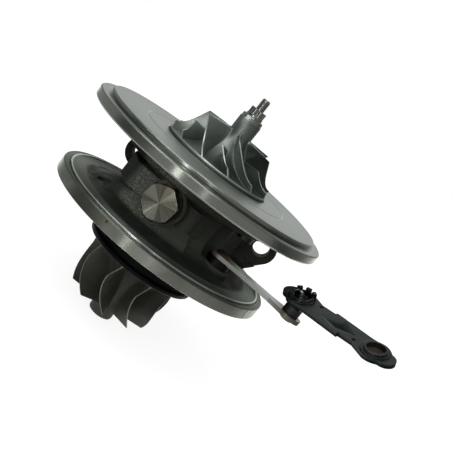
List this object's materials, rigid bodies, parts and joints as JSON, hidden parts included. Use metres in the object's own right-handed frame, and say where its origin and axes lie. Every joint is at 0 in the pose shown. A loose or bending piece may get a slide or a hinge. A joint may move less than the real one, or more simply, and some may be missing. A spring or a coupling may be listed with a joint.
{
  "type": "turbo cartridge",
  "caption": "Turbocharger cartridge: compressor and turbine wheels on one shaft in a cast bearing housing, with back plate, heat shield, nozzle control lever and ball link.",
  "frame": {"origin": "on the shaft axis, in the plane of the turbine flange's turbine-side face", "axes": "+Z along the shaft towards the compressor, -Y towards the side with the plug, +Y towards the mounting foot"},
  "size_m": [0.1709, 0.13, 0.1304],
  "materials": {
    "cast_housing": "rough cast with machined flange",
    "machined_plate": "turned and ground",
    "screw_steel": "satin",
    "rubber": "matt",
    "bronze": "turned",
    "shaft_steel": "ground",
    "sheet_steel": "rolled",
    "shield_black": "satin black",
    "plug_steel": "turned",
    "copper": "bare copper",
    "bush_steel": "satin with light rust",
    "turbine_alloy": "investment cast",
    "wheel_alloy": "machined",
    "nut_steel": "satin",
    "lever_steel": "satin",
    "stud_steel": "black oxide",
    "link_black": "satin black"
  },
  "bodies": {
    "housing": {"bearing_housing": "cast_housing", "back_plate": "machined_plate", "back_plate_screws": "screw_steel", "back_plate_o_ring": "rubber", "journal_bearing": "bronze", "bearing_pin": "shaft_steel", "thrust_bearing": "bronze", "oil_deflector": "sheet_steel", "heat_shield": "shield_black", "turbine_piston_ring": "shaft_steel", "compressor_piston_ring": "shaft_steel", "hex_plug": "plug_steel", "plug_washer": "copper", "crank_bush": "bush_steel"},
    "rotor": {"rotor_shaft": "shaft_steel", "turbine_wheel": "turbine_alloy", "thrust_collar": "shaft_steel", "oil_flinger": "shaft_steel", "compressor_wheel": "wheel_alloy", "shaft_nut": "nut_steel"},
    "lever": {"crank_shaft": "bush_steel", "control_lever": "lever_steel", "crank_arm": "lever_steel", "crank_pin": "bush_steel", "ball_stud": "stud_steel", "stud_boot": "rubber"},
    "link": {"link_bar": "link_black", "lever_end_socket": "link_black", "actuator_end_socket": "link_black"}
  },
  "joints": [
    {"name": "rotor_spin", "type": "hinge", "parent": "housing", "child": "rotor", "pos_m": [0, 0, 0], "axis": [0, 0, 1], "continuous": true},
    {"name": "lever_pivot", "type": "hinge", "parent": "housing", "child": "lever", "pos_m": [0.028, -0.018, 0.0159], "axis": [0, 0, 1], "range_deg": [-20, 20]},
    {"name": "link_swivel", "type": "hinge", "parent": "lever", "child": "link", "pos_m": [0.06665, -0.02749, 0.0242], "axis": [0, 0, 1], "range_deg": [-60, 60]}
  ]
}
